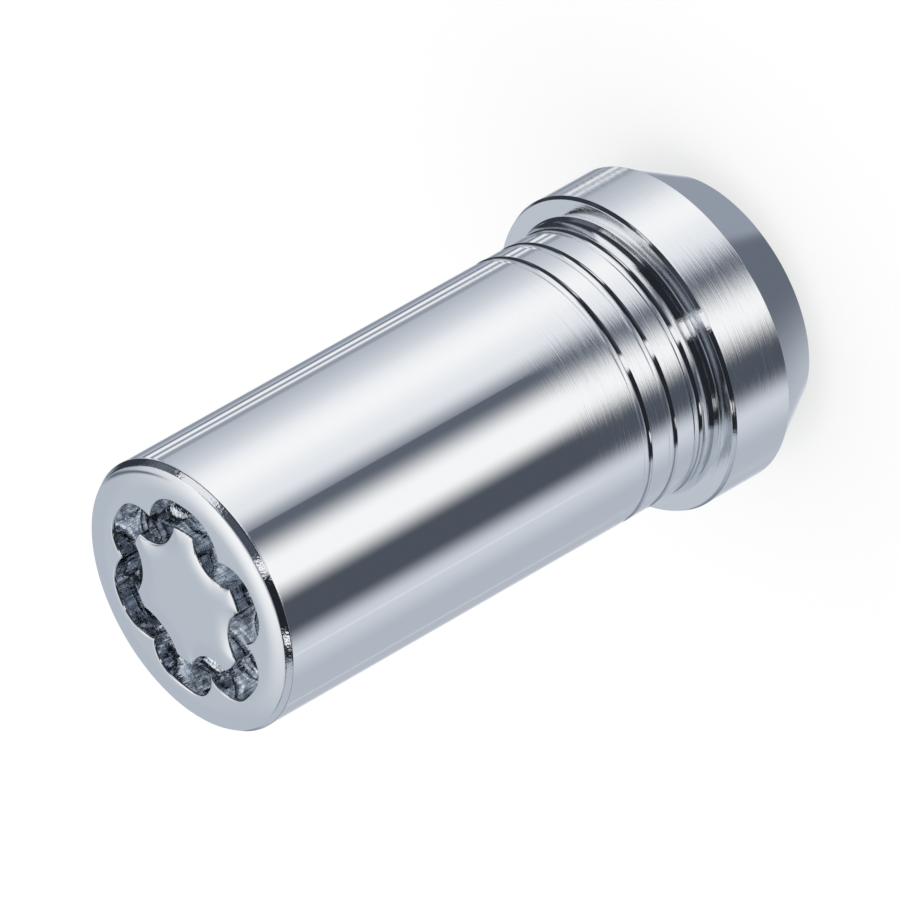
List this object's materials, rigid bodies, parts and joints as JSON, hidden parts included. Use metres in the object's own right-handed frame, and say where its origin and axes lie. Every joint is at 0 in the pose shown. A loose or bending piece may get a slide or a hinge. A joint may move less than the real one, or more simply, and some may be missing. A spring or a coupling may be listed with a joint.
{
  "type": "locking wheel nut",
  "caption": "Long chromed locking wheel nut: closed round head with a wavy key groove round an island, ring grooves, a collar, a cone seat and a blind thread.",
  "frame": {"origin": "centre of the open threaded foot, on the flat ring at the small end of the cone seat", "axes": "+Z runs along the nut's axis from the threaded foot to the head; +X points at the side of the head that faces the picture's camera"},
  "size_m": [0.0258, 0.0258, 0.0528],
  "materials": {
    "chrome": "polished"
  },
  "bodies": {
    "root": {"wheel_nut": "chrome"}
  },
  "joints": []
}
